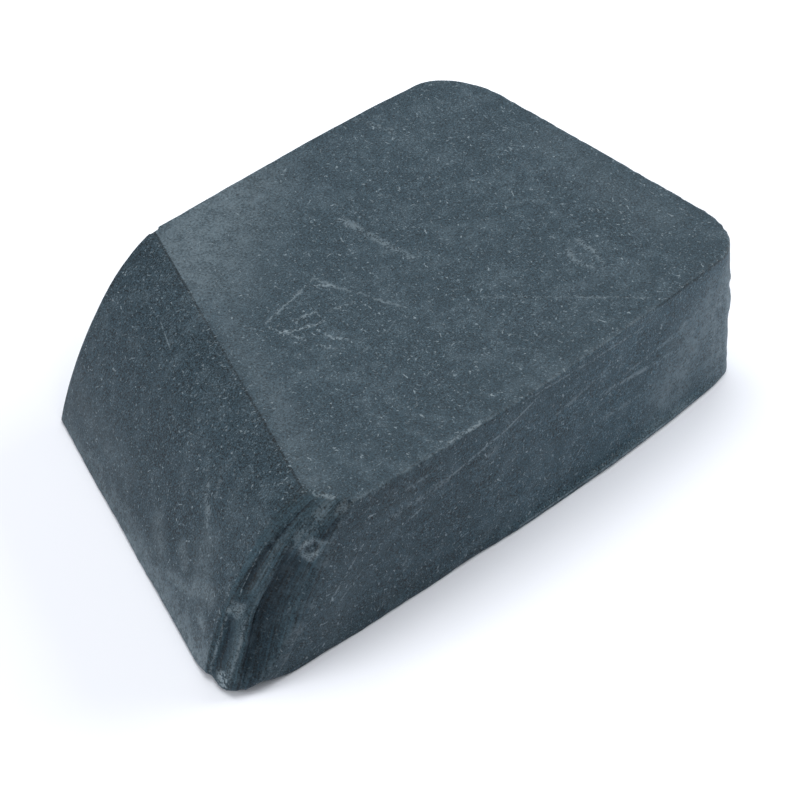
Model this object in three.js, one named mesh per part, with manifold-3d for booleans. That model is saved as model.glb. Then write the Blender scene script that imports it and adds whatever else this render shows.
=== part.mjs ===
// Sharpening whetstone: one solid block of fine, dark blue-grey abrasive stone.
//
// Millimetres, +Z up. +X runs along the stone to its square end, -X to its bevelled end.
// The bowed long side faces -Y and the nearly straight one faces +Y. The origin is the
// centre of the stone's bounding box, on its underside.

import * as THREE from 'three';
import { mergeVertices } from 'three/addons/utils/BufferGeometryUtils.js';
import Module from 'manifold-3d';

const wasm = await Module();
wasm.setup();

// ---------- driving dimensions ----------

const THICKNESS = 25;
const WIDTH = 64; // at the belly of the bowed side
const SQUARE_END_X = 50.4; // the square end, before the stone is centred on its origin
const BEVEL_RUN = 19; // toe to ridge along X, half way across the stone
const RIDGE_X = -23.1; // the ridge where it crosses the centre line
const RIDGE_SKEW = 0.406; // how far the ridge moves along +X for each millimetre of +Y
const TOE_SKEW = 0.37; // the same for the toe, where the bevel meets the underside
const SCAR_REACH_BEVEL = 6.6; // how far the broken corner reaches across the bevel, along Y
const SCAR_REACH_SIDE = 11.3; // its greatest reach along the bowed side, along X

// ---------- dimensions that follow ----------

const FRONT_Y = -WIDTH / 2;
const BACK_Y = WIDTH / 2;
const TOE_X = RIDGE_X - BEVEL_RUN;
const BLANK_START_X = TOE_X - WIDTH / 2; // the blank runs past the toe, for the bevel to cut off
const FRONT_BOW_RADIUS = 520;
const FRONT_BELLY_X = 8;
const BACK_BOW_RADIUS = 400;
const BACK_BOW_START_X = 14.4; // the back is straight up to here, then draws in a little
const CURVE_STEPS = 10;

// Half-widths of the two rounded upright corners, along X and Y, at the top.
// Each is rounded less at the bottom, by CORNER_TAPER.
const FRONT_CORNER = new THREE.Vector2(6.5, 9);
const BACK_CORNER = new THREE.Vector2(8, 11.3);
const CORNER_TAPER = 0.55;

// The bevel's convex profile from toe to ridge, as fractions of its run and of the thickness.
const BEVEL_PROFILE = new THREE.QuadraticBezierCurve(
  new THREE.Vector2(0, 0),
  new THREE.Vector2(0.42, 0.88),
  new THREE.Vector2(1, 1),
);
const BEVEL_BULGE = 0.12; // how much fuller it is low down, as a fraction of the run
const BEVEL_STEPS = 14;

// The broken corner in level sections. SCAR_ALONG is how far each point lies along the chord
// from the bowed side to the bevel, and out is how far it stands out of that chord.
const SCAR_ALONG = [0.13, 0.32, 0.48, 0.6, 0.74, 0.84, 0.94];
const SCAR_SECTIONS = [
  { z: 0, out: [1.6, 2.7, 2.8, 2.5, 2, 1.3, 0.4] },
  { z: 8, out: [0.9, 0.9, 0.4, 1.6, 1.4, 0.3, 0.2] },
  { z: 17, out: [0.4, 0.6, 0.4, 1.1, 0.9, 0, 0.2] },
  { z: THICKNESS, out: [0, 0, 0, 0.1, 0, 0, 0] },
];
const SCAR_LEVELS = 12;
const SCAR_WIDEST_Z = 10.5;
const SCAR_TOP_REACH = 5.2;

const CUT_MARGIN = 6; // how far a cutter stands clear of the stone
const SAME_POINT = 1e-3;

// ---------- solids ----------

// A closed solid through rings of equal point counts, with both ends capped. Each ring is
// a list of Vector3, and capPlane(point) gives the two coordinates its cap is drawn in.
function loft(rings, capPlane) {
  const size = rings[0].length;
  const positions = rings.flat().flatMap((point) => point.toArray());
  const indices = [];
  for (let level = 0; level + 1 < rings.length; level += 1) {
    for (let i = 0; i < size; i += 1) {
      const a = level * size + i;
      const b = level * size + ((i + 1) % size);
      indices.push(a, b, b + size, a, b + size, a + size);
    }
  }
  const last = (rings.length - 1) * size;
  for (const [a, b, c] of THREE.ShapeUtils.triangulateShape(rings[0].map(capPlane), [])) {
    indices.push(a, c, b);
    indices.push(last + a, last + b, last + c);
  }
  const geometry = new THREE.BufferGeometry();
  geometry.setAttribute('position', new THREE.Float32BufferAttribute(positions, 3));
  geometry.setIndex(indices);
  return geometry;
}

function toSolid(geometry) {
  const merged = mergeVertices(geometry, SAME_POINT / 10);
  return new wasm.Manifold(new wasm.Mesh({
    numProp: 3,
    vertProperties: new Float32Array(merged.attributes.position.array),
    triVerts: new Uint32Array(merged.index.array),
  }));
}

function toGeometry(solid) {
  const mesh = solid.getMesh();
  const geometry = new THREE.BufferGeometry();
  geometry.setAttribute('position', new THREE.BufferAttribute(mesh.vertProperties, 3));
  geometry.setIndex(new THREE.BufferAttribute(mesh.triVerts, 1));
  return geometry;
}

// ---------- the blank: a slab with one bowed side and two rounded corners ----------

function frontY(x) {
  const reach = x - FRONT_BELLY_X;
  return FRONT_Y + FRONT_BOW_RADIUS - Math.sqrt(FRONT_BOW_RADIUS ** 2 - reach ** 2);
}

function backY(x) {
  const reach = Math.max(x - BACK_BOW_START_X, 0);
  return BACK_Y - BACK_BOW_RADIUS + Math.sqrt(BACK_BOW_RADIUS ** 2 - reach ** 2);
}

function bowAngle(x) {
  return Math.atan2(frontY(x) - FRONT_Y - FRONT_BOW_RADIUS, x - FRONT_BELLY_X);
}

// Neighbouring curves share their end points, which are kept once.
function withoutRepeats(points) {
  return points.filter((point, i) => point.distanceTo(points.at(i - 1)) > SAME_POINT);
}

function planOutline(rounding) {
  const front = FRONT_CORNER.clone().multiplyScalar(rounding);
  const back = BACK_CORNER.clone().multiplyScalar(rounding);
  const frontX = SQUARE_END_X - front.x;
  const backX = SQUARE_END_X - back.x;
  const bowCentreY = FRONT_Y + FRONT_BOW_RADIUS;
  const outline = new THREE.Shape();
  outline.absarc(FRONT_BELLY_X, bowCentreY, FRONT_BOW_RADIUS, bowAngle(BLANK_START_X), bowAngle(frontX));
  outline.absellipse(frontX, frontY(frontX) + front.y, front.x, front.y, -Math.PI / 2, 0);
  outline.absellipse(backX, backY(backX) - back.y, back.x, back.y, 0, Math.PI / 2);
  outline.absarc(
    BACK_BOW_START_X,
    BACK_Y - BACK_BOW_RADIUS,
    BACK_BOW_RADIUS,
    Math.acos((backX - BACK_BOW_START_X) / BACK_BOW_RADIUS),
    Math.PI / 2,
  );
  outline.lineTo(BLANK_START_X, BACK_Y);
  return withoutRepeats(outline.getPoints(CURVE_STEPS));
}

function blank() {
  const lower = planOutline(CORNER_TAPER).map(({ x, y }) => new THREE.Vector3(x, y, 0));
  const upper = planOutline(1).map(({ x, y }) => new THREE.Vector3(x, y, THICKNESS));
  return loft([lower, upper], ({ x, y }) => new THREE.Vector2(x, y));
}

// ---------- the bevel: a skewed, convex face from the ridge down to the toe ----------

function bevelX(fraction, y) {
  const toe = TOE_X + TOE_SKEW * y;
  const ridge = RIDGE_X + RIDGE_SKEW * y;
  return toe + (ridge - toe) * fraction;
}

// A point of the profile, moved out where the bevel is fuller.
function bulged({ x, y }) {
  return new THREE.Vector2(x - BEVEL_BULGE * y * (1 - y) ** 2, y);
}

// The fraction of the bevel's run at height z, from the profile.
function bevelFraction(z) {
  const height = THREE.MathUtils.clamp(z / THICKNESS, 0, 1);
  const control = BEVEL_PROFILE.v1;
  const bend = 1 - 2 * control.y;
  const t = (-control.y + Math.sqrt(control.y ** 2 + bend * height)) / bend;
  return bulged(BEVEL_PROFILE.getPoint(t)).x;
}

// Everything outside the bevel: its profile drawn at both long sides and joined by straight lines.
function bevelCutter() {
  const profile = BEVEL_PROFILE.getPoints(BEVEL_STEPS).map(bulged);
  const slope = BEVEL_PROFILE.getTangent(1);
  profile.unshift(new THREE.Vector2(0, -CUT_MARGIN / THICKNESS));
  profile.push(new THREE.Vector2(1 + slope.x / 2, 1 + slope.y / 2));
  const ringAt = (y) => {
    const ring = profile.map((point) => new THREE.Vector3(bevelX(point.x, y), y, point.y * THICKNESS));
    ring.push(new THREE.Vector3(BLANK_START_X - CUT_MARGIN, y, THICKNESS + CUT_MARGIN));
    ring.push(new THREE.Vector3(BLANK_START_X - CUT_MARGIN, y, -CUT_MARGIN));
    return ring;
  };
  const rings = [ringAt(BACK_Y + CUT_MARGIN), ringAt(FRONT_Y - CUT_MARGIN)];
  return loft(rings, ({ x, z }) => new THREE.Vector2(x, z));
}

// ---------- the broken corner: a torn, ribbed strip along the edge of bevel and bowed side ----------

function scarReach(z) {
  const drop = SCAR_REACH_SIDE - SCAR_TOP_REACH;
  return SCAR_REACH_SIDE - drop * ((z - SCAR_WIDEST_Z) / (THICKNESS - SCAR_WIDEST_Z)) ** 2;
}

// How far each point of the level section at height z stands out of the chord.
function scarSection(z) {
  const above = Math.max(1, SCAR_SECTIONS.findIndex((section) => section.z >= z));
  const low = SCAR_SECTIONS[above - 1];
  const high = SCAR_SECTIONS[above];
  const share = (z - low.z) / (high.z - low.z);
  return low.out.map((out, i) => THREE.MathUtils.lerp(out, high.out[i], share));
}

function scarRing(z) {
  const fraction = bevelFraction(z);
  const edgeY = frontY(bevelX(fraction, FRONT_Y));
  const edgeX = bevelX(fraction, edgeY);
  const onBevelY = edgeY + SCAR_REACH_BEVEL;
  const onBevel = new THREE.Vector2(bevelX(fraction, onBevelY), onBevelY);
  const onSideX = edgeX + scarReach(z);
  const onSide = new THREE.Vector2(onSideX, frontY(onSideX));
  const chord = onBevel.clone().sub(onSide);
  const outward = new THREE.Vector2(-chord.y, chord.x).normalize();
  const scar = scarSection(z).map((out, i) => (
    onSide.clone().addScaledVector(chord, SCAR_ALONG[i]).addScaledVector(outward, out)
  ));
  const ring = [
    new THREE.Vector2(edgeX - CUT_MARGIN, edgeY - CUT_MARGIN),
    onSide.clone().add(new THREE.Vector2(0, -CUT_MARGIN)),
    onSide,
    ...scar,
    onBevel,
    onBevel.clone().add(new THREE.Vector2(-CUT_MARGIN, 0)),
  ];
  return ring.map(({ x, y }) => new THREE.Vector3(x, y, z));
}

function scarCutter() {
  const rings = [];
  for (let level = 0; level <= SCAR_LEVELS; level += 1) {
    rings.push(scarRing(THICKNESS * (level / SCAR_LEVELS)));
  }
  const lowest = rings[0].map((point) => point.clone().setZ(-1));
  const highest = rings[SCAR_LEVELS].map((point) => point.clone().setZ(THICKNESS + 1));
  return loft([lowest, ...rings, highest], ({ x, y }) => new THREE.Vector2(x, y));
}

// ---------- the stone ----------

function whetstoneGeometry() {
  const stone = toSolid(blank())
    .subtract(toSolid(bevelCutter()))
    .subtract(toSolid(scarCutter()));
  const geometry = toGeometry(stone);
  geometry.computeBoundingBox();
  const centre = geometry.boundingBox.getCenter(new THREE.Vector3());
  return geometry.translate(-centre.x, -centre.y, 0);
}

const whetstone = new THREE.Mesh(
  whetstoneGeometry(),
  new THREE.MeshStandardMaterial({ color: 0x4c5c65, roughness: 0.75, metalness: 0 }),
);
whetstone.name = 'whetstone';

const part = new THREE.Group();
part.name = 'sharpening_whetstone';
part.add(whetstone);

export default part;
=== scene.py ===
"""A sharpening whetstone: one block of fine, dark blue-grey abrasive stone on a white floor.

The block's shape is a signed distance in millimetres, in the CAD frame. The CAD solid is
remeshed finely and thinned, its points are pulled on to that distance, and the stone gets a
procedural material made of a base tone, clouds, grain, pale flecks, scuffs and worn edges,
with painted light and shade on its faces and in the scar's hollows.
"""

import math

import bpy
import numpy as np
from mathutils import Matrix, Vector


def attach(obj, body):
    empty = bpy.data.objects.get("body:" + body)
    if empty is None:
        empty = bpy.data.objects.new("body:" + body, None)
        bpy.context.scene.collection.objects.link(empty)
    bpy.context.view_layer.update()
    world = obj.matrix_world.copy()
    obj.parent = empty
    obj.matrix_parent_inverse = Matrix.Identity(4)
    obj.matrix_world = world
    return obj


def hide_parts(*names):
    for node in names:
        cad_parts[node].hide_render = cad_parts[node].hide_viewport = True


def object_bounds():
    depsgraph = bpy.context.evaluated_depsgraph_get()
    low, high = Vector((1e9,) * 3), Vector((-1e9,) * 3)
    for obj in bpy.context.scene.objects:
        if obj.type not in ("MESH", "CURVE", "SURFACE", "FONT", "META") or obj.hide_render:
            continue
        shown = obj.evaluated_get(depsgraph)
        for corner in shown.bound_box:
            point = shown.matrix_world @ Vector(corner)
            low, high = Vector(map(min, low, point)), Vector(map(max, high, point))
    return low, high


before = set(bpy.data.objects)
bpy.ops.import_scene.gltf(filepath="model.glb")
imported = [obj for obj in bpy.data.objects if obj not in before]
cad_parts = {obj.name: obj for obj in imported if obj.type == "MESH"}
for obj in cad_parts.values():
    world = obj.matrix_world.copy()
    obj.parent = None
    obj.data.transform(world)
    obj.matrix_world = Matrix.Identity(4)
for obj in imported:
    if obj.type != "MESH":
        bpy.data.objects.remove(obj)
cad_low, cad_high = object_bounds()

MM = 0.001

# ---------- sizes, in millimetres, from the CAD box ----------

END_X = cad_high[0] / MM
BACK_Y = cad_high[1] / MM
FRONT_Y = cad_low[1] / MM
THICKNESS = cad_high[2] / MM

BEVEL_RUN = 19.0
RIDGE_X = END_X - 73.5
TOE_X = RIDGE_X - BEVEL_RUN
RIDGE_SKEW = 0.406
TOE_SKEW = 0.370
PROFILE_BEND = (0.42, 0.88)
PROFILE_BULGE = 0.12

FRONT_BOW_RADIUS = 520.0
FRONT_BELLY_X = 8.0
FOOT_STRAIGHTENING = 0.45
FOOT_STRAIGHTENING_REACH = 45.0
FOOT_DRAFT = 0.45
LIP_HEIGHT = 1.0
BACK_BOW_RADIUS = 400.0
BACK_BOW_START_X = 14.4
FRONT_CORNER = (6.5, 9.0)
BACK_CORNER = (8.0, 11.3)
CORNER_TAPER = 0.55

# the broken corner: how far it reaches along the bevel, and along the bowed side at its widest
# height and at the top
SCAR_REACH_BEVEL = 6.6
SCAR_REACH_SIDE = 11.3
SCAR_TOP_REACH = 5.2
SCAR_WIDEST_Z = 10.5

# how far each edge is worn round, in millimetres
RIDGE_WEAR = 0.16
RIM_WEAR = 0.32
FOOT_WEAR = 0.55
LIP_WEAR = 0.4
TIP_WEAR = 2.8
TIP_CENTRE = (-48.0, -26.5)
SCAR_WEAR = 0.12

# a thin lip along the foot of the bowed side: at these x it stands out by so much
LIP_OUT = ([-6.0, 1.0, 14.0, 20.0, 34.0, 44.0, 47.0], [0.0, 0.4, 0.5, 0.75, 0.65, 0.4, 0.0])

# chips out of the top's rim: (centre, radii)
NICKS = [
    ((RIDGE_X + RIDGE_SKEW * BACK_Y, BACK_Y, THICKNESS), (1.0, 0.7, 0.6)),
    ((-31.6, -31.2, THICKNESS), (1.4, 1.2, 0.9)),
]

# the mesh: the voxels of its remesh, the triangles kept, and the steps that pull its points on to
# the distance, none of them longer than the reach
VOXEL = 0.3
TRIANGLES = 170000
PULL_STEPS = 3
PULL_REACH = 0.8
SEED = 7

# ---------- light, floor and camera ----------

WORLD_STRENGTH = 0.29
# (name, place in metres, size in metres, watts)
SOFT_BOXES = [
    ("overhead", (0.12, 0.16, 0.75), 0.55, 4.0),
    ("from_the_right", (0.8, -0.2, 0.4), 0.5, 6.7),
    ("from_the_left", (-0.8, 0.3, 0.4), 0.5, 3.5),
    ("from_the_front", (-0.35, -0.75, 0.8), 0.5, 1.35),
]
FLOOR_COLOUR = (0.86, 0.885, 0.945)
FLOOR_REACH = 3.0

CAMERA_AZIMUTH = math.radians(-44.7)
CAMERA_ELEVATION = math.radians(41.0)
CAMERA_DISTANCE = 0.428
CAMERA_AIM = (-1.34, -10.15, THICKNESS / 2)
CAMERA_LENS = 135.0


# ---------- numbers that look random but repeat on every run ----------


def lattice(seed, size=32):
    return np.random.default_rng(seed).uniform(-1.0, 1.0, (size, size, size))


def noise(points, scale, seed):
    """Smooth noise from -1 to 1. scale is the size of its features, in millimetres per axis."""
    table = lattice(seed)
    size = table.shape[0]
    cell = points / np.asarray(scale, float)
    low = np.floor(cell).astype(int)
    part = cell - low
    part = part * part * (3.0 - 2.0 * part)
    total = np.zeros(len(points))
    for corner in np.ndindex(2, 2, 2):
        index = (low + corner) % size
        weight = np.ones(len(points))
        for axis in range(3):
            weight *= part[:, axis] if corner[axis] else 1.0 - part[:, axis]
        total += weight * table[index[:, 0], index[:, 1], index[:, 2]]
    return total


def bump(value, centre, width):
    return np.exp(-(((value - centre) / width) ** 2))


def ramp(value, start, end):
    t = np.clip((value - start) / (end - start), 0.0, 1.0)
    return t * t * (3.0 - 2.0 * t)


# ---------- the block as a signed distance, negative inside ----------


def round_max(a, b, radius):
    """The larger of two distances, with the outer edge between them rounded to radius."""
    inner = np.minimum(np.maximum(a, b), -radius)
    return inner + np.hypot(np.maximum(a + radius, 0.0), np.maximum(b + radius, 0.0))


def front_y(x):
    return FRONT_Y + FRONT_BOW_RADIUS - np.sqrt(FRONT_BOW_RADIUS**2 - (x - FRONT_BELLY_X) ** 2)


def foot_lip(x):
    """How far a thin lip stands out along the foot of the bowed side."""
    return np.interp(x, *LIP_OUT)


def front_distance(x, y, z):
    """The bowed side, which draws in at its foot, runs a little straighter there and has a lip."""
    bow = np.hypot(x - FRONT_BELLY_X, y - FRONT_Y - FRONT_BOW_RADIUS) - FRONT_BOW_RADIUS
    lift = 1.0 - np.clip(z / THICKNESS, 0.0, 1.0)
    from_belly = (x - FRONT_BELLY_X) / FOOT_STRAIGHTENING_REACH
    draft = lift * (FOOT_DRAFT - FOOT_STRAIGHTENING * from_belly**2)
    return bow + draft - foot_lip(x) * ramp(z, 1.6 * LIP_HEIGHT, LIP_HEIGHT)


def back_y(x):
    reach = np.maximum(x - BACK_BOW_START_X, 0.0)
    return BACK_Y - BACK_BOW_RADIUS + np.sqrt(BACK_BOW_RADIUS**2 - reach**2)


def side_and_end(side, end, z, corner):
    """A long side and the square end, joined by an upright corner that tightens towards the floor."""
    taper = CORNER_TAPER + (1.0 - CORNER_TAPER) * np.clip(z / THICKNESS, 0.0, 1.0)
    along = corner[0] * taper
    across = corner[1] * taper
    dx = end + along
    dy = side + across
    reach = np.hypot(dx, dy) + 1e-9
    limit = reach / (np.hypot(dx / along, dy / across) + 1e-9)
    return np.where((dx > 0.0) & (dy > 0.0), reach - limit, np.maximum(side, end))


def rough_end(points):
    """Crumbs left standing on the square end, most of them beside its near corner."""
    x, y, z = points.T
    near = ramp(x, END_X - 7.0, END_X - 4.0) * ramp(y, -16.0, -22.0) * bump(z, 15.5, 5.5)
    crumbs = np.maximum(noise(points, 1.3, SEED + 5) + 0.25, 0.0)
    grain = noise(points, 0.8, SEED + 6)
    return 0.75 * near * crumbs + ramp(x, END_X - 4.0, END_X - 1.0) * 0.12 * grain


def profile_at(height):
    """The bevel profile: its fraction of the run at a fraction of the thickness, and its slope."""
    control_x, control_z = PROFILE_BEND
    bend = 1.0 - 2.0 * control_z
    h = np.clip(height, 0.0, 1.0)
    t = (-control_z + np.sqrt(control_z**2 + bend * h)) / bend
    fraction = 2.0 * t * (1.0 - t) * control_x + t * t - PROFILE_BULGE * h * (1.0 - h) ** 2
    slope = (control_x + (1.0 - 2.0 * control_x) * t) / (control_z + bend * t)
    slope = slope - PROFILE_BULGE * (1.0 - h) * (1.0 - 3.0 * h)
    return fraction + slope * (height - h), slope


def bevel_x(fraction, y):
    toe = TOE_X + TOE_SKEW * y
    ridge = RIDGE_X + RIDGE_SKEW * y
    return toe + (ridge - toe) * fraction


def bevel_distance(x, y, z):
    fraction, slope = profile_at(z / THICKNESS)
    steepness = BEVEL_RUN * slope / THICKNESS
    return (bevel_x(fraction, y) - x) / np.sqrt(1.0 + RIDGE_SKEW**2 + steepness**2)


# ---------- the broken corner ----------


def scar_coordinates(x, y, z):
    """Across the scar from the bowed side (0) to the bevel (1), how far out of it in
    millimetres, and the scar's width."""
    fraction, _ = profile_at(np.clip(z / THICKNESS, 0.0, 1.0))
    edge_y = front_y(bevel_x(fraction, FRONT_Y))
    edge_x = bevel_x(fraction, edge_y)
    bevel_y = edge_y + SCAR_REACH_BEVEL
    on_bevel_x = bevel_x(fraction, bevel_y)
    drop = SCAR_REACH_SIDE - SCAR_TOP_REACH
    reach = SCAR_REACH_SIDE - drop * ((z - SCAR_WIDEST_Z) / (THICKNESS - SCAR_WIDEST_Z)) ** 2
    side_x = edge_x + reach
    side_y = front_y(side_x)
    chord_x = on_bevel_x - side_x
    chord_y = bevel_y - side_y
    width = np.hypot(chord_x, chord_y)
    across = ((x - side_x) * chord_x + (y - side_y) * chord_y) / width**2
    out = ((y - side_y) * chord_x - (x - side_x) * chord_y) / width
    return across, out, width


# Lines down the scar: at these heights they run this fraction of the way across it.
STEP_LINE = (
    [0.6, 4.0, 7.6, 10.5, 12.7, 16.2, 19.7, 22.0, 25.0],
    [0.48, 0.56, 0.61, 0.64, 0.63, 0.59, 0.54, 0.49, 0.40],
)
GROOVE_LINE = ([13.0, 15.6, 17.6, 19.8, 22.4, 24.4], [0.84, 0.83, 0.805, 0.75, 0.68, 0.63])
GROOVE_WIDTH = ([13.0, 16.0, 19.0, 22.0, 25.0], [0.045, 0.06, 0.055, 0.03, 0.02])
CHANNEL_LINE = ([1.0, 4.0, 6.5, 9.5], [0.88, 0.83, 0.82, 0.87])
STRIP_LINE = ([0.0, 4.0, 10.0], [0.68, 0.70, 0.75])
# Spots on the scar: (the fraction across it, z).
PIT_PLACE = (0.23, 19.2)
CRUMB_PLACE = (0.86, 10.9)
NOTCH_PLACE = (0.04, 24.3)
# How far the torn face bulges out of the chord: in its middle, at these heights, and at the
# floor, at these fractions across it.
ARCH_OUT = ([11.0, 17.0, 22.0, 25.0], [1.3, 1.1, 0.4, 0.0])
TOE_OUT = ([0.0, 0.13, 0.38, 0.62, 0.76, 0.88, 1.0], [0.0, 2.7, 4.0, 3.5, 2.6, 0.9, 0.1])


def scar_step(z):
    """How far across the scar its long step runs."""
    return np.interp(z, *STEP_LINE)


def scar_features(across, width, z):
    """The scar's parts, each from 0 to 1. The pit is a ring round a knob, in a patchy rim."""
    groove = bump(across, np.interp(z, *GROOVE_LINE), np.interp(z, *GROOVE_WIDTH))
    channel = bump(across, np.interp(z, *CHANNEL_LINE), 0.05)
    strip = bump(across, np.interp(z, *STRIP_LINE), 0.05)
    below = scar_step(z) - across
    place = np.stack([across * width, z, np.zeros_like(z)], axis=1)
    ragged = noise(place, 0.7, SEED + 7)
    patchy = ramp(noise(place, 1.0, SEED + 11), -0.5, 0.4)
    to_pit = np.hypot((across - PIT_PLACE[0]) * width, (z - PIT_PLACE[1]) * 1.05) + 0.3 * ragged
    to_crumb = np.hypot((across - CRUMB_PLACE[0]) * width, z - CRUMB_PLACE[1]) + 0.7 * ragged
    to_notch = np.hypot((across - NOTCH_PLACE[0]) * width / 1.4, (z - NOTCH_PLACE[1]) / 0.9)
    return {
        "groove": groove * ramp(z, 12.8, 13.8) * ramp(z, 25.0, 21.0),
        "trough": ramp(below, -0.01, 0.04) * (1.0 - ramp(below, 0.18, 0.50)) * ramp(z, 21.0, 15.5),
        "channel": channel * ramp(z, 10.0, 9.2),
        "strip": strip * ramp(z, 11.0, 9.5),
        "pit": bump(to_pit, 0.7, 0.28),
        "knob": ramp(to_pit, 0.5, 0.1),
        "rim": bump(to_pit, 1.25, 0.4) * (0.3 + 0.7 * patchy),
        "crumb": ramp(to_crumb, 1.3, 0.5),
        "notch": ramp(to_notch, 1.2, 0.6),
    }


def scar_relief(across, width, z):
    """How far the torn face stands out of the chord. It leaves the top along the chord, and
    nearly reaches the whole corner at the floor."""
    features = scar_features(across, width, z)
    waist = np.interp(z, *ARCH_OUT) * (1.0 - (2.0 * np.clip(across, 0.0, 1.0) - 1.0) ** 2)
    toe = np.interp(across, *TOE_OUT)
    low = ramp(z, 11.0, 0.0)
    relief = waist + (toe - waist) * low
    shallow = 1.0 - 0.8 * ramp(z, 5.0, 0.5)
    relief -= 0.7 * features["groove"]
    relief -= 1.35 * shallow * features["trough"]
    relief -= 0.55 * shallow * features["channel"]
    relief += 0.2 * shallow * features["strip"]
    relief -= 0.45 * features["pit"]
    relief += 0.25 * features["rim"]
    lines = np.stack([across * 10.0, z, np.zeros_like(z)], axis=1)
    coarse = noise(lines, (0.85, 26.0, 1.0), SEED + 1)
    fine = noise(lines, (0.4, 13.0, 1.0), SEED + 2)
    relief += (0.09 * coarse + 0.06 * fine) * ramp(z, 0.0, 3.0)
    crumbs = noise(lines, 0.5, SEED + 3)
    relief += (features["crumb"] + 0.5 * features["rim"]) * (0.3 * crumbs - 0.1)
    relief += features["notch"] * (0.7 * crumbs - 0.5)
    return relief


# ---------- the faces together ----------


def face_distances(points):
    """The distance to each of the block's faces."""
    x, y, z = points.T
    end = x - END_X - rough_end(points)
    across, out, width = scar_coordinates(x, y, z)
    return {
        "side": np.maximum(
            side_and_end(front_distance(x, y, z), end, z, FRONT_CORNER),
            side_and_end(y - back_y(x), end, z, BACK_CORNER),
        ),
        "bevel": bevel_distance(x, y, z),
        "scar": out - scar_relief(across, width, z),
        "top": z - THICKNESS,
        "foot": -z,
    }


def nick(points, centre, radii):
    """A chip out of an edge: positive inside an ellipsoid."""
    offset = (points - np.asarray(centre)) / np.asarray(radii)
    return min(radii) * (1.0 - np.linalg.norm(offset, axis=1))


def foot_wear(points):
    """The rounding along the floor: tight under the lip, and wide under the broken corner's tip."""
    x, y, z = points.T
    lip = ramp(foot_lip(x), 0.0, 0.4) * ramp(y, -10.0, -20.0)
    tip = ramp(np.hypot(x - TIP_CENTRE[0], y - TIP_CENTRE[1]), 8.0, 2.0)
    return FOOT_WEAR + (LIP_WEAR - FOOT_WEAR) * lip + (TIP_WEAR - FOOT_WEAR) * tip


def block_distance(points):
    faces = face_distances(points)
    uneven = 1.0 + 0.35 * noise(points, 5.0, SEED) + 0.2 * noise(points, 1.7, SEED + 4)
    body = round_max(faces["side"], faces["bevel"], RIM_WEAR * uneven)
    body = round_max(body, faces["scar"], SCAR_WEAR)
    rim = RIM_WEAR + (RIDGE_WEAR - RIM_WEAR) * ramp(faces["bevel"] - faces["side"], -1.0, 1.0)
    body = round_max(body, faces["top"], rim * uneven)
    body = round_max(body, faces["foot"], foot_wear(points) * uneven)
    ripple = 0.03 * noise(points, 7.0, SEED + 8) + 0.012 * noise(points, 1.5, SEED + 9)
    crumbs = 0.25 * noise(points, 0.6, SEED + 10)
    for centre, radii in NICKS:
        body = np.maximum(body, nick(points, centre, radii) + crumbs)
    return body + ripple


def pull_on_to(points, distance):
    """Newton steps along the distance's gradient."""
    reach = 0.02
    for _ in range(PULL_STEPS):
        here = distance(points)
        slope = np.empty_like(points)
        for axis in range(3):
            step = np.zeros(3)
            step[axis] = reach
            slope[:, axis] = (distance(points + step) - here) / reach
        length = np.maximum((slope**2).sum(axis=1), 0.2)
        move = np.clip(here / length, -PULL_REACH, PULL_REACH)
        points = points - slope * move[:, None]
    return points


# ---------- the mesh ----------


def read_points(mesh):
    flat = np.empty(len(mesh.vertices) * 3)
    mesh.vertices.foreach_get("co", flat)
    return flat.reshape(-1, 3)


def write_points(mesh, points):
    mesh.vertices.foreach_set("co", points.ravel())
    mesh.update()


def store(mesh, name, values):
    """A number for each point, which the material reads by name."""
    attribute = mesh.attributes.new(name, "FLOAT", "POINT")
    attribute.data.foreach_set("value", np.asarray(values, np.float32))


def paint_masks(mesh, points):
    """Where each face, the worn edges and the parts of the scar are, from 0 to 1."""
    faces = face_distances(points)
    names = list(faces)
    stack = np.stack([faces[name] for name in names])
    nearest = stack.argmax(axis=0)
    for name in ("side", "bevel", "scar", "top"):
        store(mesh, "on_" + name, nearest == names.index(name))
    ordered = np.sort(stack, axis=0)
    worn = np.exp(-(ordered[-1] - ordered[-2]) / 0.4)
    flat = (faces["bevel"] > faces["side"]) & (faces["foot"] < -1.0)
    store(mesh, "edge", worn * np.where(flat, 0.0, 1.0))

    x, y, z = points.T
    across, out, width = scar_coordinates(x, y, z)
    features = scar_features(across, width, z)
    inside = ramp(faces["scar"], -0.25, -0.05)
    # painted shade: the scar's groove, trough, channel, pit and notch are darkened where shade falls
    dark = 0.75 * features["groove"] + 0.65 * features["trough"] + 0.7 * features["channel"]
    dark += 0.8 * features["pit"] + 0.6 * features["notch"]
    pale = 0.2 * features["strip"] + 1.05 * features["rim"] + 0.4 * features["knob"]
    pale += 0.5 * features["crumb"] + 0.25 * features["notch"]
    store(mesh, "scar_painted_shade", np.clip(dark * inside, 0.0, 1.0))
    store(mesh, "scar_pale", np.clip(pale * inside, 0.0, 1.0))
    store(mesh, "scar_across", across * 10.0)
    store(mesh, "scar_flow", (across - scar_step(z)) * 10.0)


def modified(stone, kind, **settings):
    """The stone's mesh with one modifier applied."""
    modifier = stone.modifiers.new(kind.lower(), kind)
    for name, value in settings.items():
        setattr(modifier, name, value)
    bpy.context.view_layer.update()
    result = bpy.data.meshes.new_from_object(stone.evaluated_get(bpy.context.evaluated_depsgraph_get()))
    stone.modifiers.clear()
    stone.data = result
    return result


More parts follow.
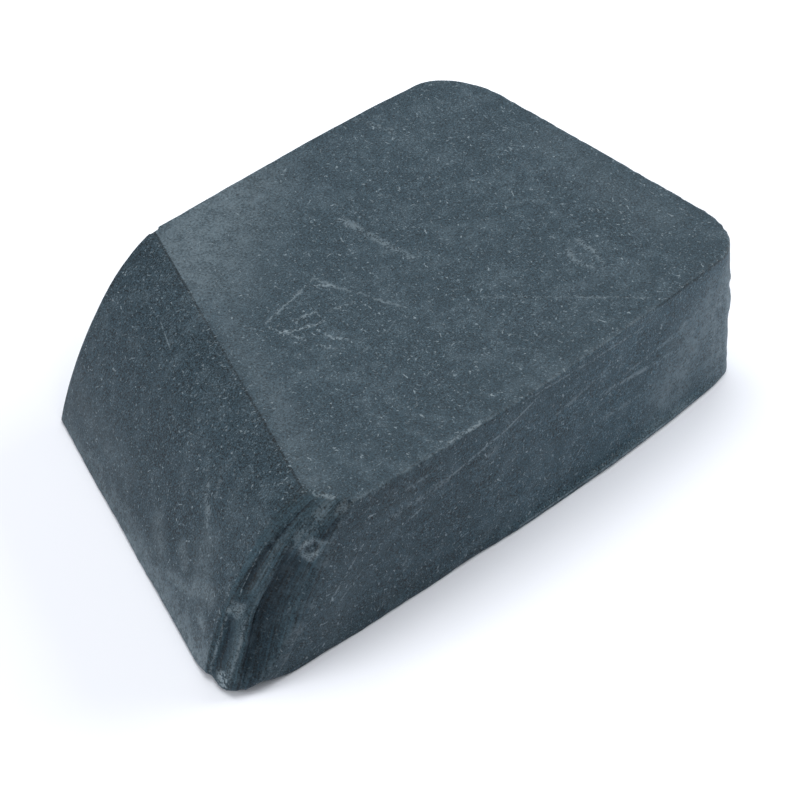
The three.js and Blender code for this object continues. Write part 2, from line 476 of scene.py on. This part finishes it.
def make_stone():
    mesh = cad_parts["whetstone"].data.copy()
    mesh.materials.clear()
    stone = bpy.data.objects.new("stone_block", mesh)
    bpy.context.scene.collection.objects.link(stone)
    mesh = modified(stone, "REMESH", mode="VOXEL", voxel_size=VOXEL * MM, use_smooth_shade=True)
    write_points(mesh, pull_on_to(read_points(mesh) / MM, block_distance) * MM)
    share = TRIANGLES / (2 * len(mesh.polygons))
    mesh = modified(stone, "DECIMATE", ratio=min(share, 1.0))
    points = pull_on_to(read_points(mesh) / MM, block_distance)
    write_points(mesh, points * MM)
    mesh.name = "stone_block"
    paint_masks(mesh, points)
    return stone


# ---------- shader nodes ----------


class Graph:
    """Short names for the shader nodes used here. A value is a number or another node's output."""

    def __init__(self, material):
        material.use_nodes = True
        self.tree = material.node_tree
        self.shader = self.tree.nodes["Principled BSDF"]

    def feed(self, socket, value):
        if isinstance(value, bpy.types.NodeSocket):
            self.tree.links.new(value, socket)
        else:
            socket.default_value = value

    def node(self, kind, inputs, **settings):
        node = self.tree.nodes.new(kind)
        for name, value in settings.items():
            setattr(node, name, value)
        for key, value in inputs.items():
            self.feed(node.inputs[key], value)
        return node

    def math(self, operation, *values):
        return self.node("ShaderNodeMath", dict(enumerate(values)), operation=operation).outputs[0]

    def add(self, *values):
        total = values[0]
        for value in values[1:]:
            total = self.math("ADD", total, value)
        return total

    def times(self, *values):
        total = values[0]
        for value in values[1:]:
            total = self.math("MULTIPLY", total, value)
        return total

    def most(self, *values):
        total = values[0]
        for value in values[1:]:
            total = self.math("MAXIMUM", total, value)
        return total

    def vector(self, operation, *values):
        return self.node("ShaderNodeVectorMath", dict(enumerate(values)), operation=operation)

    def stretch(self, vector, scale):
        return self.vector("MULTIPLY", vector, scale).outputs[0]

    def combine(self, x, y, z=0.0):
        return self.node("ShaderNodeCombineXYZ", {0: x, 1: y, 2: z}).outputs[0]

    def split(self, vector):
        return self.node("ShaderNodeSeparateXYZ", {0: vector}).outputs

    def ramp(self, value, start, end, low=0.0, high=1.0):
        inputs = {"Value": value, "From Min": start, "From Max": end, "To Min": low, "To Max": high}
        return self.node("ShaderNodeMapRange", inputs, interpolation_type="SMOOTHSTEP").outputs["Result"]

    def blend(self, factor, a, b):
        """A colour between a and b."""
        return self.node("ShaderNodeMix", {0: factor, 6: a, 7: b}, data_type="RGBA").outputs[2]

    def noise(self, vector, scale, detail=2.0, roughness=0.5):
        """Noise from 0 to 1, with scale features per millimetre."""
        inputs = {"Vector": vector, "Scale": scale, "Detail": detail, "Roughness": roughness}
        return self.node("ShaderNodeTexNoise", inputs).outputs["Fac"]

    def noise_vector(self, vector, scale):
        """Three noises from 0 to 1, with scale features per millimetre."""
        inputs = {"Vector": vector, "Scale": scale, "Detail": 1.0}
        return self.node("ShaderNodeTexNoise", inputs).outputs["Color"]

    def scaled(self, vector, scale):
        return self.node("ShaderNodeVectorMath", {0: vector, "Scale": scale}, operation="SCALE").outputs[0]

    def toned(self, mask, tone):
        """tone where the mask is 1, and 1 where it is 0."""
        return self.ramp(mask, 0.0, 1.0, 1.0, tone)

    def swing(self, value, amount):
        """Noise turned into a change of tone, from -amount / 2 to amount / 2."""
        return self.times(self.math("SUBTRACT", value, 0.5), amount)

    def attribute(self, name):
        return self.node("ShaderNodeAttribute", {}, attribute_name=name).outputs["Fac"]


def flecks(g, place, normal, cell, share, length, width):
    """Short straight strokes lying in the surface in random directions, at most one per cell."""
    voronoi = g.node("ShaderNodeTexVoronoi", {"Vector": place, "Scale": 1.0 / cell})
    first, second, third = g.node("ShaderNodeSeparateColor", {0: voronoi.outputs["Color"]}).outputs
    inward = g.vector("SUBTRACT", place, voronoi.outputs["Position"]).outputs[0]
    depth = g.vector("DOT_PRODUCT", inward, normal).outputs["Value"]
    offset = g.vector("SUBTRACT", inward, g.scaled(normal, depth)).outputs[0]
    angles = g.stretch(voronoi.outputs["Color"], (2.0 * math.pi,) * 3)
    turned = g.node(
        "ShaderNodeVectorRotate",
        {"Vector": offset, "Rotation": angles},
        rotation_type="EULER_XYZ",
    ).outputs[0]
    along = g.split(turned)[0]
    reach = g.times(g.add(g.math("POWER", second, 3.0), 0.2), length)
    held = g.math("MAXIMUM", g.math("MINIMUM", along, reach), g.times(reach, -1.0))
    square = g.vector("DOT_PRODUCT", offset, offset).outputs["Value"]
    gap = g.add(square, g.times(held, held), g.times(along, held, -2.0))
    near = g.ramp(gap, width * width, 0.0)
    shallow = g.ramp(g.math("ABSOLUTE", depth), cell * 0.5, cell * 0.3)
    present = g.math("LESS_THAN", third, share)
    return g.times(near, shallow, present, g.ramp(first, 0.0, 1.0, 0.3, 1.0))


def stroke(g, place, start, end, width):
    """1 on the line from start to end, fading to 0 at width from it."""
    run = Vector(end) - Vector(start)
    offset = g.stretch(g.vector("SUBTRACT", place, (*start, 0.0)).outputs[0], (1.0, 1.0, 0.0))
    unit = (run.x / run.length_squared, run.y / run.length_squared, 0.0)
    along = g.vector("DOT_PRODUCT", offset, unit).outputs["Value"]
    held = g.math("MAXIMUM", g.math("MINIMUM", along, 1.0), 0.0)
    nearest = g.scaled((run.x, run.y, 0.0), held)
    gap = g.vector("DISTANCE", offset, nearest).outputs["Value"]
    return g.ramp(gap, width, 0.0)


def marks(g, place, rows):
    """The strongest of several strokes: rows of (start, end, half-width, strength)."""
    return g.most(*(g.times(stroke(g, place, *row[:3]), row[3]) for row in rows))


# ---------- the stone's tones, painted light and shade among them, and the marks on it ---

STONE_COLOUR = (0.0255, 0.047, 0.0635)
# A slightly bluer copy of the stone's colour for the upright sides and the scar: painted shade, the tint
# of the light that reaches them.
SHADED_SIDE_COLOUR = (0.0230, 0.0475, 0.0645)
# Painted shade in the scar's hollows and creases.
SCAR_SHADE_COLOUR = (0.0045, 0.0145, 0.0245)
# The colour of pale flecks, scuffs, worn edges and dust, and of the painted light on the bevel and the
# bowed side.
PALE_AND_LIGHT_COLOUR = (0.190, 0.240, 0.272)

# How bright each face is beside plain stone. For the top, the bevel and the bowed side these are
# painted light and shade: each face is made lighter or darker for how light falls on it. Where there
# are two numbers, the tone runs from one to the other: down the bevel, towards the bowed side, and
# from the square end to the broken corner.
BEVEL_TONE = (0.84, 0.93)
TOP_TONE = (0.94, 0.91)
SIDE_TONE = (1.1, 0.765)
SCAR_TONE = 0.82
# A thin band of painted shade just below the ridge on the bevel, and just below the top's near edge
# towards the square end.
SHADE_LINE_TONE = 0.62

# Down the bevel a place is measured by this much of x and of z.
DOWN_BEVEL = (0.6, 0.8)

# Every mark is (start, end, half-width, strength), in millimetres.
# Pale scuffs on the top, (x, y).
TOP_MARKS = [
    ((10.8, 14.1), (11.6, 0.6), 1.3, 0.42),
    ((30.0, 30.5), (31.5, 24.5), 1.0, 0.45),
    ((12.6, -12.6), (20.0, -20.0), 0.3, 0.32),
    ((20.0, -20.0), (31.0, -31.5), 0.3, 0.40),
    ((31.9, -13.5), (31.3, -17.5), 0.9, 0.46),
    ((29.1, -13.9), (27.8, -17.3), 0.9, 0.42),
    ((27.8, -17.3), (29.0, -20.0), 0.8, 0.40),
    ((31.3, -17.5), (29.8, -20.2), 0.9, 0.40),
    ((-13.4, 4.5), (-1.7, 7.1), 0.4, 0.55),
    ((-1.7, 7.1), (2.6, -6.0), 0.5, 0.40),
    ((-13.6, 3.5), (-10.3, -6.6), 0.35, 0.60),
    ((-8.2, -9.5), (2.0, -7.6), 0.3, 0.30),
    ((-13.1, 1.4), (-10.6, 0.2), 0.5, 0.95),
    ((-10.6, 0.2), (-7.4, -0.8), 0.5, 0.95),
    ((-10.4, 2.2), (-7.0, 1.6), 0.5, 0.65),
    ((-3.6, 6.8), (-0.6, 3.9), 0.5, 0.70),
    ((-9.0, -3.3), (-7.8, -6.0), 0.5, 0.65),
    ((-4.7, 0.2), (-1.4, -0.8), 0.5, 0.45),
    ((-12.7, -31.3), (-7.2, -31.5), 0.6, 0.65),
]
# Broad pale patches on the top, (x, y).
TOP_BLOOM = [
    ((4.0, 34.0), (-14.0, 22.0), 19.0, 1.35),
    ((-14.0, 14.0), (-31.0, -24.0), 5.0, 0.6),
    ((12.0, 30.0), (42.0, 20.0), 7.0, 0.15),
    ((-12.7, -32.0), (-7.2, -32.0), 2.4, 0.45),
    ((8.6, -32.0), (16.8, -32.0), 1.8, 0.30),
    ((46.0, 6.0), (44.0, -18.0), 8.0, 0.4),
]
# On the bowed side, (x + y, z): painted light where it turns at its near corner (the first two), two broad
# pale patches, and a thin line of painted light from the floor along its lip.
SIDE_PATCHES_AND_LIGHT = [
    ((25.0, 1.0), (23.0, 24.0), 11.0, 2.2),
    ((19.0, 4.0), (15.0, 16.0), 13.0, 2.2),
    ((3.0, 6.0), (8.0, 14.0), 11.0, 1.5),
    ((-66.0, 3.0), (-62.0, 10.0), 7.0, 0.5),
    ((-31.0, 0.8), (8.0, 0.8), 0.35, 2.4),
]
# Pale scuffs on the bowed side, (x, z). The back has the same ones, turned end for end.
SIDE_MARKS = [
    ((-22.0, 21.6), (-14.0, 22.0), 0.4, 0.40),
    ((-24.0, 18.0), (-13.3, 18.9), 1.1, 0.40),
    ((-13.3, 18.9), (-2.1, 21.2), 0.4, 0.50),
    ((-2.1, 21.2), (5.8, 24.2), 0.3, 0.55),
    ((-7.5, 17.6), (-4.5, 18.8), 1.3, 0.34),
    ((-22.1, 15.1), (-18.1, 16.4), 0.3, 0.50),
    ((0.5, 24.3), (26.0, 22.8), 0.35, 0.45),
    ((17.5, 15.5), (33.8, 13.4), 0.7, 0.50),
    ((22.0, 16.2), (32.4, 16.6), 0.5, 0.35),
    ((18.2, 10.3), (30.7, 9.5), 1.0, 0.28),
    ((32.4, 16.6), (40.0, 18.2), 1.1, 0.45),
    ((8.0, 17.6), (21.0, 20.2), 0.6, 0.34),
    ((40.6, 10.5), (43.6, 10.0), 0.3, 0.90),
    ((-34.5, 9.0), (-28.5, 16.3), 0.4, 0.52),
    ((-33.0, 8.0), (-27.0, 13.0), 0.3, 0.42),
]
# Pale scuffs on the bevel, (y, place down the bevel).
BEVEL_MARKS = [
    ((-8.6, -7.5), (-12.3, -12.2), 0.5, 0.50),
    ((-9.4, -8.6), (-11.2, -10.6), 1.2, 0.50),
    ((-10.4, -6.1), (-11.1, -7.9), 0.5, 0.45),
    ((4.0, -22.0), (22.0, -18.0), 4.0, 0.30),
    ((17.8, 4.9), (12.7, 2.9), 0.15, 0.60),
]
# Broad pale patches on the bevel, (y, place down the bevel). The first, over the lower bevel, is painted
# light.
BEVEL_BLOOM = [
    ((32.0, -22.0), (-20.0, -30.0), 8.5, 2.6),
    ((-14.0, -14.0), (-17.0, -27.0), 5.0, 1.0),
    ((31.0, -10.0), (29.0, -18.0), 3.5, 0.8),
    ((28.0, -12.6), (10.0, -16.0), 5.5, 0.6),
    ((-8.9, -17.2), (-10.4, -18.9), 2.0, 1.5),
    ((-1.1, -17.5), (-3.9, -20.8), 3.2, 1.1),
    ((-7.3, -22.3), (-12.8, -21.4), 2.2, 1.5),
    ((-14.0, -20.7), (-18.2, -19.6), 3.0, 1.9),
    ((-16.9, -22.9), (-19.2, -24.1), 2.2, 1.9),
]
# Fine dark lines of painted shade in the scar's creases, and broader bands of it under its top edge and
# low down, (ten times the fraction across it, z).
SCAR_SHADE_LINES = [
    ((6.3, 24.3), (7.2, 21.2), 0.26, 0.9),
    ((7.2, 21.2), (8.0, 18.2), 0.38, 1.0),
    ((8.0, 18.2), (8.3, 13.6), 0.45, 0.9),
    ((8.7, 16.6), (8.6, 13.4), 0.16, 0.9),
    ((5.4, 20.0), (5.9, 16.2), 0.22, 0.8),
    ((5.9, 16.2), (6.35, 12.7), 0.26, 0.9),
    ((6.35, 12.7), (6.4, 10.0), 0.28, 1.0),
    ((6.4, 10.0), (6.1, 7.6), 0.3, 1.0),
    ((6.1, 7.6), (5.6, 4.0), 0.3, 1.0),
    ((5.6, 4.0), (4.8, 0.3), 0.3, 0.9),
    ((6.0, 19.6), (6.6, 15.0), 0.14, 0.7),
    ((6.5, 18.0), (6.95, 13.0), 0.12, 0.6),
    ((2.3, 5.8), (2.0, 4.4), 0.25, 0.8),
    ((0.3, 23.2), (1.3, 21.0), 1.2, 0.85),
    ((2.2, 16.5), (3.6, 8.0), 1.6, 0.35),
    ((3.4, 3.5), (3.6, 0.6), 1.6, 0.6),
]
# Fine pale lines along the scar, (ten times the fraction across it, z).
SCAR_PALE_LINES = [
    ((8.9, 19.6), (8.8, 15.6), 0.16, 0.8),
    ((8.8, 15.6), (8.9, 13.0), 0.16, 0.8),
    ((7.0, 19.5), (7.5, 14.0), 0.3, 0.2),
    ((6.8, 13.5), (6.9, 9.0), 0.3, 0.2),
    ((7.3, 9.9), (6.9, 6.2), 0.45, 0.6),
    ((6.9, 6.2), (6.7, 0.8), 0.45, 0.5),
    ((7.4, 2.2), (6.8, 0.4), 1.3, 1.4),
    ((3.6, 23.6), (4.8, 20.0), 2.2, 0.30),
    ((9.4, 24.8), (3.5, 24.9), 0.3, 0.7),
    ((1.4, 20.2), (0.0, 20.0), 0.7, 0.45),
    ((9.3, 9.5), (9.2, 1.5), 0.3, 0.5),
]


# ---------- material ----------


def face_masks(g, past_ridge):
    """Where each face is, from 0 to 1, with the ridge drawn as a sharp line."""
    masks = {name: g.attribute("on_" + name) for name in ("side", "scar")}
    flat = g.add(g.attribute("on_top"), g.attribute("on_bevel"))
    masks["bevel"] = g.times(flat, g.ramp(past_ridge, -0.05, 0.05))
    masks["top"] = g.times(flat, g.ramp(past_ridge, 0.05, -0.05))
    return masks


class Surface:
    """The places in millimetres, the face masks and the noises that the parts of the material share."""

    def __init__(self, g):
        position = g.node("ShaderNodeTexCoord", {}).outputs["Object"]
        self.normal = g.node("ShaderNodeNewGeometry", {}).outputs["Normal"]
        self.place = g.stretch(position, (1.0 / MM,) * 3)
        x, y, z = g.split(self.place)
        self.x, self.y, self.z = x, y, z
        self.past_ridge = g.math("SUBTRACT", g.add(g.times(y, RIDGE_SKEW), RIDGE_X), x)
        self.masks = face_masks(g, self.past_ridge)
        self.slope = g.add(g.times(x, DOWN_BEVEL[0]), g.times(z, DOWN_BEVEL[1]))
        self.plan = g.combine(x, y)
        self.down = g.combine(y, self.slope)
        self.scar = g.combine(g.attribute("scar_across"), z)
        self.front = g.times(self.masks["side"], g.ramp(y, -6.0, -16.0))
        self.sharp_edge = g.times(g.ramp(x, 22.0, 34.0), g.ramp(y, -18.0, -24.0))
        self.clouds = g.noise(self.place, 1.0 / 9.0, 3.0, 0.6)
        self.patches = g.noise(self.place, 1.0 / 2.2, 3.0, 0.7)
        self.grain = g.noise(self.place, 2.6, 2.0, 0.7)
        self.grit = g.noise(g.vector("ADD", self.place, (9.0, 5.0, 3.0)).outputs[0], 4.6, 1.0, 0.6)


def drawn_tone(g, s):
    """Grain drawn out down the bevel, along the sides and down the scar."""
    down = g.noise(g.combine(g.times(s.y, 2.4), g.times(s.slope, 0.5)), 1.0, 2.0, 0.6)
    leaning = g.math("SUBTRACT", s.z, g.times(s.x, 0.07))
    along = g.combine(g.times(s.x, 0.07), g.times(leaning, 0.8), g.times(s.y, 0.1))
    bands = g.noise(along, 1.0, 3.0, 0.6)
    flow = g.combine(g.times(g.attribute("scar_flow"), 2.4), g.times(s.z, 0.09))
    torn = g.noise(flow, 1.0, 3.0, 0.7)
    return g.add(
        g.times(g.swing(down, 0.45), s.masks["bevel"]),
        g.times(g.swing(bands, 0.8), s.masks["side"]),
        g.times(g.swing(torn, 3.4), s.masks["scar"]),
    )


def stone_level(g, s):
    """How bright the stone is: noise of several sizes, times the tone of each face, which is painted light
    and shade on the top, the bevel and the bowed side, and thin bands of painted shade below the ridge and
    the top's near edge.
    """
    smooth = g.most(s.masks["top"], s.masks["scar"])
    gritty = g.times(g.swing(s.grit, 2.6), g.ramp(smooth, 0.0, 1.0, 1.45, 0.95))
    level = g.add(1.0, g.swing(s.clouds, 0.28), g.swing(s.patches, 0.5), g.swing(s.grain, 1.8), gritty)
    level = g.math("MAXIMUM", g.add(level, drawn_tone(g, s)), 0.2)
    # painted light and shade along the bowed side: lighter at the square end, darker towards the broken
    # corner
    side = g.times(s.front, g.ramp(s.x, 24.0, -30.0, *SIDE_TONE))
    # painted shade: thin dark bands just past the ridge on the bevel and just below the top's near edge
    just_past = g.times(g.ramp(s.past_ridge, 0.55, 0.25), g.ramp(s.past_ridge, 0.0, 0.12))
    below_ridge = g.times(just_past, s.masks["bevel"])
    below_top = g.ramp(s.z, THICKNESS - 0.65, THICKNESS - 0.45)
    return g.times(
        level,
        g.toned(s.masks["bevel"], g.ramp(s.slope, -18.0, -28.0, *BEVEL_TONE)),
        g.toned(s.masks["scar"], SCAR_TONE),
        g.toned(s.masks["top"], g.ramp(s.y, -10.0, -28.0, *TOP_TONE)),
        g.math("SUBTRACT", g.add(side, 1.0), s.front),
        g.toned(below_ridge, SHADE_LINE_TONE),
        g.toned(g.times(s.sharp_edge, s.masks["side"], below_top), SHADE_LINE_TONE),
    )


def dust_and_painted_light(g, s):
    """Dust rubbed into the surface, thicker in patches; broad pale patches on the top and the bevel, the
    one over the lower bevel painted light; and painted light on the bowed side: a pale patch where it
    turns at its near corner, with upright painted highlight streaks, and a thin line along its lip.
    """
    dusty = g.ramp(g.add(s.clouds, g.swing(s.patches, 0.9)), 0.42, 0.72)
    upright = g.noise(g.combine(g.times(s.x, 1.8), g.times(s.z, 0.1), s.y), 1.0, 2.0, 0.6)
    # upright painted highlight streaks on the pale patch where the bowed side turns at its near corner
    streaks = g.add(1.0, g.times(g.swing(upright, 1.3), g.ramp(s.x, 36.0, 46.0)))
    bloom = g.most(
        g.times(marks(g, s.plan, TOP_BLOOM), s.masks["top"]),
        g.times(marks(g, g.combine(g.add(s.x, s.y), s.z), SIDE_PATCHES_AND_LIGHT), s.front, streaks),
        g.times(marks(g, s.down, BEVEL_BLOOM), s.masks["bevel"]),
        g.times(dusty, 0.3),
    )
    return g.times(bloom, g.ramp(g.add(s.patches, g.swing(s.grain, 1.2)), 0.25, 0.75, 0.25, 1.0))


def pale_spots(g, s):
    """Bent flecks of two lengths, and single pale grains."""
    bent = g.vector("MULTIPLY_ADD", g.noise_vector(s.place, 2.2), (0.7, 0.7, 0.7), s.place).outputs[0]
    shifted = g.vector("ADD", bent, (31.0, 17.0, 7.0)).outputs[0]
    long_flecks = flecks(g, bent, s.normal, 1.4, 0.9, 0.55, 0.125)
    short_flecks = flecks(g, shifted, s.normal, 0.85, 0.85, 0.26, 0.11)
    grains = g.times(g.ramp(s.grit, 0.56, 0.72), g.ramp(s.patches, 0.4, 0.7), 0.5)
    spots = g.most(long_flecks, g.times(short_flecks, 0.6), grains)
    return g.times(spots, g.toned(s.masks["scar"], 0.4))


def scuff_marks(g, s):
    """Pale scuffs, which wander a little on the top and break up, and the scar's pale crumbs."""
    push = g.vector("MULTIPLY_ADD", g.noise_vector(s.place, 1.1), (1.5,) * 3, (-0.75,) * 3).outputs[0]
    long_sides = g.times(s.masks["side"], g.ramp(g.math("ABSOLUTE", s.y), 8.0, 14.0))
    lengthwise = g.times(s.x, g.ramp(s.y, 8.0, -8.0, -1.0, 1.0))
    scuffs = g.most(
        g.times(marks(g, g.vector("ADD", s.plan, push).outputs[0], TOP_MARKS), s.masks["top"]),
        g.times(marks(g, g.combine(lengthwise, s.z), SIDE_MARKS), long_sides),
        g.times(marks(g, s.down, BEVEL_MARKS), s.masks["bevel"]),
        g.times(marks(g, s.scar, SCAR_PALE_LINES), s.masks["scar"]),
    )
    broken = g.ramp(g.add(s.grain, g.swing(s.patches, 0.9)), 0.4, 0.6, 0.05, 1.1)
    crumbly = g.times(g.attribute("scar_pale"), g.ramp(s.grit, 0.35, 0.6, 0.3, 1.0), 1.3)
    return g.most(g.times(scuffs, broken), crumbly)


def worn_edges(g, s):
    """Pale, unevenly worn edges. The top's near edge stays dark towards the square end."""
    uneven = g.ramp(g.add(s.patches, g.swing(s.grain, 0.6)), 0.4, 0.66, 0.03, 0.32)
    return g.times(g.attribute("edge"), uneven, g.math("SUBTRACT", 1.0, s.sharp_edge))


def stone_colour(g, s):
    """Bare stone, with a bluer shaded copy of its colour on the upright sides and the scar, and darker and
    bluer with painted shade in the scar's hollows and creases, under everything that is pale, painted
    light included.
    """
    level = stone_level(g, s)
    # painted shade: the upright sides and the scar take the bluer shaded copy of the stone's colour
    shaded_faces = g.most(s.masks["side"], s.masks["scar"])
    tone = g.blend(shaded_faces, (*STONE_COLOUR, 1.0), (*SHADED_SIDE_COLOUR, 1.0))
    scar_shade = g.most(g.attribute("scar_painted_shade"), g.times(marks(g, s.scar, SCAR_SHADE_LINES), s.masks["scar"]))
    body = g.blend(scar_shade, g.scaled(tone, level), g.scaled(SCAR_SHADE_COLOUR, level))
    pale = g.most(
        g.times(pale_spots(g, s), 0.85),
        g.times(scuff_marks(g, s), 0.9),
        worn_edges(g, s),
        g.times(dust_and_painted_light(g, s), 0.30),
    )
    return g.blend(pale, body, (*PALE_AND_LIGHT_COLOUR, 1.0))


def stone_material():
    material = bpy.data.materials.new("stone")
    g = Graph(material)
    s = Surface(g)
    g.feed(g.shader.inputs["Base Color"], stone_colour(g, s))
    g.feed(g.shader.inputs["Roughness"], g.ramp(s.grain, 0.2, 0.8, 0.55, 0.72))
    g.feed(g.shader.inputs["Specular IOR Level"], 0.25)
    height = g.add(s.grain, g.times(s.grit, 0.6))
    bumped = g.node("ShaderNodeBump", {"Strength": 0.7, "Distance": 0.06 * MM, "Height": height})
    g.feed(g.shader.inputs["Normal"], bumped.outputs[0])
    return material


# ---------- the stage ----------


def make_floor():
    reach = FLOOR_REACH
    mesh = bpy.data.meshes.new("floor")
    corners = [(-reach, -reach, 0), (reach, -reach, 0), (reach, reach, 0), (-reach, reach, 0)]
    mesh.from_pydata(corners, [], [(0, 1, 2, 3)])
    floor = bpy.data.objects.new("floor", mesh)
    bpy.context.scene.collection.objects.link(floor)
    material = bpy.data.materials.new("floor")
    material.use_nodes = True
    shader = material.node_tree.nodes["Principled BSDF"]
    shader.inputs["Base Color"].default_value = (*FLOOR_COLOUR, 1.0)
    shader.inputs["Roughness"].default_value = 0.9
    shader.inputs["Specular IOR Level"].default_value = 0.0
    mesh.materials.append(material)


def make_world():
    world = bpy.data.worlds.new("studio")
    world.use_nodes = True
    background = world.node_tree.nodes["Background"]
    background.inputs["Color"].default_value = (1.0, 1.0, 1.0, 1.0)
    background.inputs["Strength"].default_value = WORLD_STRENGTH
    bpy.context.scene.world = world


def make_soft_box(name, place, size, power):
    """A square area light aimed at the stone."""
    data = bpy.data.lights.new(name, "AREA")
    data.shape = "SQUARE"
    data.size = size
    data.energy = power
    light = bpy.data.objects.new(name, data)
    light.location = place
    light.rotation_euler = Vector(place).to_track_quat("Z", "Y").to_euler()
    bpy.context.scene.collection.objects.link(light)


def make_camera():
    back = Vector((
        math.sin(CAMERA_AZIMUTH) * math.cos(CAMERA_ELEVATION),
        -math.cos(CAMERA_AZIMUTH) * math.cos(CAMERA_ELEVATION),
        math.sin(CAMERA_ELEVATION),
    ))
    aim = Vector(CAMERA_AIM) * MM
    data = bpy.data.cameras.new("camera")
    data.lens = CAMERA_LENS
    data.sensor_width = 36.0
    data.clip_start = 0.01
    camera = bpy.data.objects.new("camera", data)
    camera.location = aim + back * CAMERA_DISTANCE
    camera.rotation_euler = back.to_track_quat("Z", "Y").to_euler()
    bpy.context.scene.collection.objects.link(camera)
    bpy.context.scene.camera = camera


make_camera()
make_world()
for soft_box in SOFT_BOXES:
    make_soft_box(*soft_box)
make_floor()

bpy.context.scene.view_settings.view_transform = "Standard"

stone = make_stone()
stone.data.materials.append(stone_material())
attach(stone, "root")
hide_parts("whetstone")
